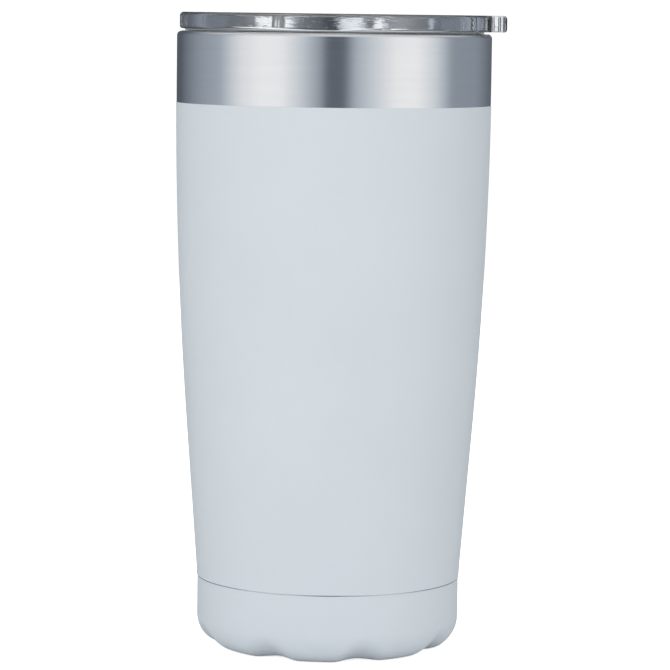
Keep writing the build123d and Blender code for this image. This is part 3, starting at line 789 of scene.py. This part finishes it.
class TUMBLER_OT_wall(bpy.types.Operator):
    """Makes the steel wall and its powder coating."""

    bl_idname = "tumbler.wall"
    bl_label = "Steel wall and coating"

    def execute(self, context):
        s, colours = context.scene.tumbler_wall, context.scene.tumbler_colours
        side = wall_line(s, s.seam_height, s.shoulder_height - s.shoulder_radius)
        a = np.linspace(0, np.pi / 2, 13)[1:]
        corner = np.column_stack([
            s.band_radius - s.shoulder_radius * (1 - np.cos(a)),
            s.shoulder_height - s.shoulder_radius * (1 - np.sin(a)),
        ])
        flat = np.column_stack([
            np.linspace(corner[-1, 0], s.mouth_radius, 6)[1:], np.full(5, s.shoulder_height)
        ])
        line = np.vstack([side, corner, flat])
        back = offset_line(line, -s.sheet)[::-1]
        back[-1, 1] = s.seam_height
        section = np.vstack([line, back])
        wall = skin("wall", turned(section, s.segments), loop=True)
        steel = steel_material("ring_brushed_steel", colours.steel, 0.12, 0.00016)
        nodes, links = steel.node_tree.nodes, steel.node_tree.links
        # Painted shade on the steel at the seam's gap. The whole cover plate shares this material and lies
        # lower, so it is darkened as well.
        paint_shade_below(nodes, links, nodes["Principled BSDF"], s.seam_shade_height, s.seam_shade_fade, colours.weld)
        place(wall, "cup", "brushed_steel", steel, "outer_wall")
        line = wall_line(s, s.seam_height + s.coat_gap, s.coat_top)
        over = offset_line(line, s.coat_thickness)
        edge = s.coat_thickness * 0.5
        over[0, 1] += edge
        over[-1, 1] -= edge
        section = np.vstack([line, over[::-1]])
        coat = skin("coating", turned(section, s.segments), loop=True)
        place(coat, "cup", "powder_coat", coat_material("matte_powder_coat", colours.coat), "wall_coating")
        return {"FINISHED"}


class TUMBLER_OT_liner(bpy.types.Operator):
    """Makes the steel liner that holds the drink."""

    bl_idname = "tumbler.liner"
    bl_label = "Liner"

    def execute(self, context):
        s, colours = context.scene.tumbler_liner, context.scene.tumbler_colours
        t = s.sheet
        lean = np.arctan2(s.mouth_radius - s.bottom_radius, s.cone_height - s.bottom_height)
        push = t * np.tan((np.pi / 2 - lean) / 2)
        corners = [
            (0.0004, s.bottom_height, 0),
            (s.bottom_radius, s.bottom_height, s.corner_radius),
            (s.mouth_radius, s.cone_height, 0.02),
            (s.mouth_radius, s.lip_height, 0.4 * t),
            (s.mouth_radius + t, s.lip_height, 0.4 * t),
            (s.mouth_radius + t, s.cone_height - t * lean / 2, 0.02 - t),
            (s.bottom_radius + push, s.bottom_height - t, s.corner_radius + t),
            (0.0004, s.bottom_height - t, 0),
        ]
        section = supported(rounded(corners, 12), 0.0004)
        liner = skin("liner", turned(section, 256))
        steel = steel_material("satin_liner_steel", colours.liner, 0.34, 0.0003, 0.7, 0.4)
        place(liner, "cup", "liner_steel", steel, "inner_wall")
        return {"FINISHED"}


class TUMBLER_OT_base(bpy.types.Operator):
    """Makes the fluted base cup and the cover plate in its underside."""

    bl_idname = "tumbler.base"
    bl_label = "Base cup"

    def execute(self, context):
        s, colours = context.scene.tumbler_base, context.scene.tumbler_colours
        longest, clear_of_flutes, across_flute = 0.0009, s.flute_top + 0.004, 40
        shells = []
        for inset, arc_steps in ((0.0, 22), (s.sheet, 12)):
            line = rounded(base_section(s, inset), arc_steps)
            size = np.linalg.norm(np.diff(line, axis=0), axis=1)
            steps = np.maximum(1, np.ceil(size / longest)).astype(int)
            steps[line[1:, 1] > clear_of_flutes] = 1
            where = np.concatenate([np.linspace(0, 1, n + 1)[1:] + i for i, n in enumerate(steps)])
            index = np.arange(len(line))
            finer = np.column_stack([np.interp(where, index, line[:, i]) for i in range(2)])
            line = np.vstack([line[:1], finer])
            normal = offset_line(line, -1.0) - line
            rings = turned(line, across_flute * s.flutes)
            depth = flute_depth(s, rings, inset)
            angle = np.arctan2(rings[..., 1], rings[..., 0])
            rings[..., 0] += depth * normal[:, :1] * np.cos(angle)
            rings[..., 1] += depth * normal[:, :1] * np.sin(angle)
            rings[..., 2] += depth * normal[:, 1:]
            shells.append(rings)
        base = skin("base", np.concatenate([shells[0], shells[1][::-1]]), loop=True)
        place(base, "cup", "powder_coat", coat_material("matte_powder_coat", colours.coat), "base_cup")
        high = s.recess_height
        low, bevel = high - s.cover_thickness, 0.3 * s.cover_thickness
        section = rounded([
            (0.0004, low, 0), (s.cover_radius, low, bevel), (s.cover_radius, high, 0), (0.0004, high, 0)
        ])
        plate = skin("cover_plate", turned(supported(section), 192))
        steel = steel_material("ring_brushed_steel", colours.steel, 0.12, 0.00016)
        place(plate, "cup", "brushed_steel", steel, "base_cover_plate")
        return {"FINISHED"}


class TUMBLER_OT_vacuum_parts(bpy.types.Operator):
    """Finishes the parts inside the vacuum space: foil, getter, its clip and the solder glass."""

    bl_idname = "tumbler.vacuum_parts"
    bl_label = "Parts in the vacuum space"

    def execute(self, context):
        colours = context.scene.tumbler_colours
        finishes = {
            "reflective_foil": plain_metal("bright_copper_foil", colours.foil, 1.0, 0.2, 0.0008),
            "getter_clip": steel_material("stamped_clip_steel", colours.steel, 0.34, 0.0002, anisotropy=0.3),
            "getter_pellet": plain_metal("pressed_getter", (0.30, 0.30, 0.31), 0.6, 0.7, 0.0002),
            "seal_bead": plain_metal("fused_solder_glass", (0.10, 0.11, 0.12), 0.0, 0.14, 0.0009),
        }
        for node, material in finishes.items():
            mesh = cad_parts[node].data
            mesh.materials.clear()
            mesh.materials.append(material)
        return {"FINISHED"}


class TUMBLER_OT_lid(bpy.types.Operator):
    """Makes the clear lid with its well, drink opening, vent, rails, stop and pull tab."""

    bl_idname = "tumbler.lid"
    bl_label = "Lid"

    def body(self, s):
        """The turned lid: its underside and skirt, the flange's edge with the tab, and its well."""
        inset, up = edge_rows(s.underside, s.top, s.low_edge, s.top_edge)
        gap = 0.00012
        inset = np.concatenate([[s.low_edge + gap], inset, [s.top_edge + gap]])
        up = np.concatenate([[s.underside], up, [s.top]])
        outer = stacked(flange_outline(s, inset), up)
        angle = np.arctan2(outer[-1, :, 1], outer[-1, :, 0])
        under = s.floor_top - s.floor
        well, skirt, groove = s.well_radius, s.skirt_radius, s.skirt_radius - s.groove_depth
        groove_top = s.groove_low + s.groove_height
        above = rounded([(skirt + 0.004, s.top, 0), (well, s.top, s.top_edge), (well, s.floor_top, 0.0006),
                         (0.0005, s.floor_top, 0)])
        below = rounded([(0.0005, under, 0), (well, under, 0.0006), (well, s.skirt_low, 0.0005),
                         (skirt, s.skirt_low, 0.0005), (skirt, s.groove_low, 0), (groove, s.groove_low, 0),
                         (groove, groove_top, 0), (skirt, groove_top, 0), (skirt, s.underside, 0.0003),
                         (skirt + 0.003, s.underside, 0)])

        def circles(section):
            r, z = section[:, :1], np.broadcast_to(section[:, 1:], (len(section), len(angle)))
            return np.stack([r * np.cos(angle), r * np.sin(angle), z], 2)

        return skin("lid", np.concatenate([circles(supported(below)), outer, circles(supported(above))]))

    def openings(self, s, lid):
        """Cuts the drink opening and the vent, with rounded edges."""
        edge, under = 0.0004, s.floor_top - s.floor
        opening = (s.opening_length, s.opening_width, s.opening_corner, (-s.opening_centre, 0))
        vent = (2 * s.vent_radius, 2 * s.vent_radius, s.vent_radius, (s.vent_centre, 0))
        for size_x, size_y, corner, centre in (opening, vent):
            rows, heights = edge_rows(under, s.floor_top, -edge, -edge)
            rows = np.concatenate([[rows[0]], rows, [rows[-1]]])
            heights = np.concatenate([[under - edge], heights, [s.floor_top + edge]])
            plan = plan_box(size_x, size_y, corner, centre, rows, 12)
            combine(lid, skin("cutter", stacked(plan, heights)), "DIFFERENCE")

    def rails(self, s, lid):
        """Adds the slider's two rails with their lips, cut off at the well's wall, and the stop."""
        sunk, soft, margin = 0.0002, 0.0003, 0.0004
        reach = s.rail_end + s.well_radius + 0.001
        middle = (s.rail_end - s.well_radius) / 2 - 0.0005
        lip_low = s.floor_top + s.rail_lip_low
        lip_high = lip_low + s.rail_lip_height
        lip_width = s.rail_inside + s.rail_thickness / 2 - s.rail_lip
        radius, low, high = s.well_radius + margin, s.floor_top - margin, lip_high + margin
        for side in (-1, 1):
            wall_y = side * (s.rail_inside + s.rail_thickness / 2)
            lip_y = side * (s.rail_lip + lip_width / 2)
            rail = block("rail", reach, s.rail_thickness, soft, (middle, wall_y), s.floor_top - sunk,
                         lip_high, 0, soft)
            lip = block("lip", reach, lip_width, soft, (middle, lip_y), lip_low, lip_high, 0.0002, soft)
            bounds = rounded([(0.0005, low, 0), (radius, low, 0), (radius, high, 0), (0.0005, high, 0)])
            combine(rail, lip, "UNION")
            combine(rail, skin("bounds", turned(bounds, 180)), "INTERSECT")
            combine(lid, rail, "UNION")
        stop_length, stop_gap = 0.0016, 0.00015
        stop = block("stop", stop_length, s.stop_width, 0.0006, (s.rail_end + stop_gap + stop_length / 2, 0),
                     s.floor_top - sunk, s.floor_top + s.stop_height, 0, margin)
        combine(lid, stop, "UNION")

    def execute(self, context):
        s, colours = context.scene.tumbler_lid, context.scene.tumbler_colours
        lid = self.body(s)
        self.openings(s, lid)
        self.rails(s, lid)
        plastic = plastic_material("clear_lid_plastic", colours.clear, 0.01)
        place(lid, "lid", "clear_plastic", plastic, "lid_body", sharp=30.0)
        return {"FINISHED"}


class TUMBLER_OT_gasket(bpy.types.Operator):
    """Makes the silicone gasket with its top lip, fins and bead."""

    bl_idname = "tumbler.gasket"
    bl_label = "Gasket"

    def execute(self, context):
        s, colours = context.scene.tumbler_lid, context.scene.tumbler_colours
        inner, outer = s.skirt_radius, s.skirt_radius + s.gasket_wall
        low, top, t = s.underside - s.gasket_depth, s.underside, s.fin_thickness
        bead, bead_low = s.skirt_radius - s.groove_depth, s.groove_low
        bead_top = bead_low + s.groove_height
        small, soft, tip, lip = 0.0002, 0.0003, 0.45 * t, 0.48 * s.gasket_lip
        corners = [(inner, low, small), (outer, low, soft)]
        for drop in (s.low_fin, s.high_fin):
            z = s.underside - drop
            corners += [(outer, z, soft), (s.fin_radius, z, tip), (s.fin_radius, z + t, tip),
                        (outer, z + t, soft)]
        corners += [(outer, top - s.gasket_lip, soft), (s.gasket_lip_radius, top - s.gasket_lip, lip),
                    (s.gasket_lip_radius, top, lip), (inner, top, 0.0001), (inner, bead_top, 0),
                    (bead, bead_top, small), (bead, bead_low, small), (inner, bead_low, 0)]
        section = supported(rounded(corners, 5, closed=True), 0.0001, closed=True)
        gasket = skin("gasket", turned(section, 256), loop=True)
        place(gasket, "lid", "silicone", silicone_material("soft_silicone", colours.silicone), "lid_gasket")
        return {"FINISHED"}


class TUMBLER_OT_slider(bpy.types.Operator):
    """Makes the slider with its thumb ridge and ribs, and the seal under it."""

    bl_idname = "tumbler.slider"
    bl_label = "Slider and seal"

    def execute(self, context):
        s, lid, colours = (context.scene.tumbler_slider, context.scene.tumbler_lid,
                           context.scene.tumbler_colours)
        margin, sunk, top = 0.001, 0.0002, s.underside + s.height
        far = s.end_radius + 3 * margin
        middle = -(s.inner_end + far) / 2

        def disc(radius, low, high):
            section = rounded([(0.0005, low, 0), (radius, low, 0), (radius, high, 0), (0.0005, high, 0)])
            return skin("disc", turned(section, 720))

        def tray(name, width, height, top_round):
            low, high = s.underside, s.underside + height
            made = block(name, far - s.inner_end, width, 0.001, (middle, 0), low, high, 0.0002, top_round)
            section = rounded([(0.0005, low - margin, 0), (s.end_radius, low - margin, 0),
                               (s.end_radius, high, top_round), (0.0005, high, 0)], 6)
            return combine(made, skin("end", turned(section, 720)), "INTERSECT")

        body = tray("thumb_slider", s.width - 2 * s.inset, s.height, 0.0004)
        combine(body, tray("flange", s.width, s.flange, 0.0002), "UNION")
        ridge_x = -s.inner_end - 0.001 - s.ridge_length / 2
        ridge = block("ridge", s.ridge_length, s.ridge_width, 0.4 * s.ridge_length, (ridge_x, 0), top - sunk,
                      s.ridge_top, 0, 0.0008)
        combine(body, ridge, "UNION")
        for i in range(s.ribs):
            rib_x = ridge_x - (i + 1.5) * s.rib_pitch
            rib = block("rib", 0.4 * s.rib_pitch, s.ridge_width, 0.19 * s.rib_pitch, (rib_x, 0), top - sunk,
                        top + s.rib_height, 0, 0.00025)
            combine(body, rib, "UNION")
        seal_size = (lid.opening_length + 2 * s.seal_border, lid.opening_width + 2 * s.seal_border,
                     lid.opening_corner + s.seal_border, (-lid.opening_centre, 0))
        seal_low = s.underside - s.seal_proud
        seal_high = seal_low + s.seal_thickness
        clear = s.end_radius - 0.00015
        pocket = combine(block("pocket", *seal_size, s.underside - margin, seal_high),
                         disc(clear, s.underside - 2 * margin, seal_high + margin), "INTERSECT")
        combine(body, pocket, "DIFFERENCE")
        plastic = plastic_material("smoky_slider_plastic", colours.smoke, 0.02)
        place(body, "slider", "slider_plastic", plastic, "slider", sharp=30.0)
        seal = combine(block("seal", *seal_size, seal_low, seal_high, 0.00015, 0),
                       disc(clear, seal_low - margin, seal_high + margin), "INTERSECT")
        silicone = silicone_material("soft_silicone", colours.silicone)
        place(seal, "slider", "silicone", silicone, "slider_seal", sharp=30.0)
        return {"FINISHED"}


class TUMBLER_OT_studio(bpy.types.Operator):
    """Makes the pale floor, the soft light and the camera."""

    bl_idname = "tumbler.studio"
    bl_label = "Studio"

    def floor(self):
        """A pale disc, lifted for the camera and left out for glossy rays, which meet the surround."""
        edge, thickness = 1.3, 0.01
        section = np.array([(0.001, 0.0), (0.05, 0.0), (edge, 0.0), (edge, -thickness), (0.001, -thickness)])
        floor = skin("floor", turned(section, 96))
        material, nodes, links, shader = new_material("pale_floor")
        grain = use_group(nodes, grain_group(), Pitch=0.02, Patch=0.4)
        tint(nodes, links, shader, (0.88, 0.88, 0.88), grain.outputs["Patchiness"], 0.995, 1.005)
        shader.inputs["Roughness"].default_value = 0.8
        lift = nodes.new("ShaderNodeEmission")
        links.new(math_node(nodes, links, "MULTIPLY", ray_kind(nodes, "Is Camera Ray"), 0.8),
                  lift.inputs["Strength"])
        add = nodes.new("ShaderNodeAddShader")
        links.new(shader.outputs[0], add.inputs[0])
        links.new(lift.outputs[0], add.inputs[1])
        unseen = nodes.new("ShaderNodeBsdfTransparent").outputs[0]
        surface = mix_shaders(nodes, links, ray_kind(nodes, "Is Glossy Ray"), add.outputs[0], unseen)
        links.new(surface, nodes["Material Output"].inputs["Surface"])
        floor.data.materials.append(material)

    def ramp(self, nodes, links, angle, stops):
        """Brightness by angle, from stops of (degree, value). Darker parts are bluer."""
        node = nodes.new("ShaderNodeValToRGB")
        line = node.color_ramp.elements
        low, high = stops[0][0], stops[-1][0]
        for degree, value in stops[1:-1]:
            line.new((degree - low) / (high - low))
        for point, (degree, value) in zip(line, stops):
            shade = max(0.0, 1.1 - value)
            red, blue = 1 - 0.115 * min(1.0, shade / 0.6), 1 + 0.21 * shade
            point.color = (value * red, value, value * blue, 1.0)
        links.new(remap(nodes, links, angle, np.radians(low), np.radians(high), 0.0, 1.0), node.inputs["Fac"])
        return node.outputs["Color"]

    def surround(self, world, strength):
        """Bright and dark upright strips all round, light above, without colour for diffuse light.

        The strips depend on the compass angle alone. Those straight behind the cup are finer,
        because the lid's round edge spreads them widely. The camera itself sees plain white.
        """
        nodes, links = world.node_tree.nodes, world.node_tree.links
        split = nodes.new("ShaderNodeSeparateXYZ")
        links.new(nodes.new("ShaderNodeTexCoord").outputs["Generated"], split.inputs[0])
        x, y, z = split.outputs
        front = math_node(nodes, links, "ARCTAN2", x, math_node(nodes, links, "MULTIPLY", y, -1.0))
        rear = math_node(nodes, links, "ARCTAN2", x, y)
        around = self.ramp(nodes, links, front, STRIPS_AROUND)
        behind = self.ramp(nodes, links, rear, STRIPS_BEHIND)
        edge = np.radians(STRIPS_BEHIND[-1][0])
        aside = remap(nodes, links, math_node(nodes, links, "ABSOLUTE", rear), 0.95 * edge, edge, 1.0, 0.0)
        strips = mix_colours(nodes, links, aside, around, behind)
        above = remap(nodes, links, z, 0.4, 0.75, 0.0, 1.0)
        grey = nodes.new("ShaderNodeHueSaturation")
        links.new(math_node(nodes, links, "SUBTRACT", 1.0, ray_kind(nodes, "Is Diffuse Ray")),
                  grey.inputs["Saturation"])
        links.new(mix_colours(nodes, links, above, strips, (0.8, 0.8, 0.8, 1.0)), grey.inputs["Color"])
        background = nodes["Background"]
        links.new(grey.outputs["Color"], background.inputs["Color"])
        background.inputs["Strength"].default_value = strength
        white = nodes.new("ShaderNodeBackground")
        white.inputs["Color"].default_value = (1.0, 1.0, 1.0, 1.0)
        white.inputs["Strength"].default_value = 1.05
        surface = mix_shaders(nodes, links, ray_kind(nodes, "Is Camera Ray"), background.outputs[0],
                              white.outputs[0])
        links.new(surface, nodes["World Output"].inputs["Surface"])

    def lamps(self, scene):
        """Large round lamps that light the matte surfaces and aren't seen in the shiny ones."""
        for name, where, aim_z, size, power in LAMPS:
            light = bpy.data.lights.new(name, "AREA")
            light.shape, light.size, light.energy = "DISK", size, power
            lamp = bpy.data.objects.new(name, light)
            scene.collection.objects.link(lamp)
            lamp.location = where
            towards = Vector((0, 0, aim_z)) - Vector(where)
            lamp.rotation_euler = towards.to_track_quat("-Z", "Y").to_euler()
            lamp.visible_camera = False
            lamp.visible_glossy = False
            lamp.visible_transmission = False

    def camera(self, scene, s):
        """A camera level with the lid's top that looks down by the pitch."""
        data = bpy.data.cameras.new("camera")
        camera = bpy.data.objects.new("camera", data)
        scene.collection.objects.link(camera)
        data.lens, data.sensor_width = s.lens, 36.0
        data.clip_start, data.clip_end = 0.01, 50.0
        eye = Vector((0.0, -s.distance, s.height))
        aim = Vector((s.aim_x, 0.0, s.height - s.distance * np.tan(np.radians(s.pitch))))
        look = (aim - eye).to_track_quat("-Z", "Y").to_matrix().to_4x4()
        camera.matrix_world = Matrix.Translation(eye) @ look @ Matrix.Rotation(np.radians(s.roll), 4, "Z")
        scene.camera = camera

    def execute(self, context):
        s, scene = context.scene.tumbler_studio, context.scene
        self.floor()
        scene.world = bpy.data.worlds.new("soft_studio")
        scene.world.use_nodes = True
        self.surround(scene.world, s.surround)
        self.lamps(scene)
        self.camera(scene, s)
        scene.view_settings.view_transform = "Standard"
        scene.view_settings.look = "None"
        return {"FINISHED"}


class TUMBLER_PT_panel(bpy.types.Panel):
    """Lists the tumbler's pieces with their sizes and colours."""

    bl_idname = "TUMBLER_PT_panel"
    bl_label = "Tumbler"
    bl_space_type = "VIEW_3D"
    bl_region_type = "UI"
    bl_category = "Tumbler"

    def draw(self, context):
        for operator, group in PIECES:
            box = self.layout.box()
            box.operator(operator)
            if group:
                settings = getattr(context.scene, group)
                for name in settings.bl_rna.properties.keys():
                    if name not in ("rna_type", "name"):
                        box.prop(settings, name)


PIECES = [
    ("tumbler.wall", "tumbler_wall"),
    ("tumbler.liner", "tumbler_liner"),
    ("tumbler.base", "tumbler_base"),
    ("tumbler.vacuum_parts", "tumbler_colours"),
    ("tumbler.lid", "tumbler_lid"),
    ("tumbler.gasket", None),
    ("tumbler.slider", "tumbler_slider"),
    ("tumbler.studio", "tumbler_studio"),
]
GROUPS = {
    "tumbler_wall": WallSizes,
    "tumbler_liner": LinerSizes,
    "tumbler_base": BaseSizes,
    "tumbler_lid": LidSizes,
    "tumbler_slider": SliderSizes,
    "tumbler_colours": FinishColours,
    "tumbler_studio": StudioSettings,
}
OPERATORS = [
    TUMBLER_OT_wall, TUMBLER_OT_liner, TUMBLER_OT_base, TUMBLER_OT_vacuum_parts, TUMBLER_OT_lid,
    TUMBLER_OT_gasket, TUMBLER_OT_slider, TUMBLER_OT_studio, TUMBLER_PT_panel,
]


def register():
    for group in GROUPS.values():
        bpy.utils.register_class(group)
    for name, group in GROUPS.items():
        setattr(bpy.types.Scene, name, PointerProperty(type=group))
    for operator in OPERATORS:
        bpy.utils.register_class(operator)


def unregister():
    for operator in reversed(OPERATORS):
        bpy.utils.unregister_class(operator)
    for name, group in GROUPS.items():
        delattr(bpy.types.Scene, name)
        bpy.utils.unregister_class(group)


def main():
    register()
    for operator, _ in PIECES:
        family, name = operator.split(".")
        getattr(getattr(bpy.ops, family), name)()


if __name__ == "__main__":
    main()
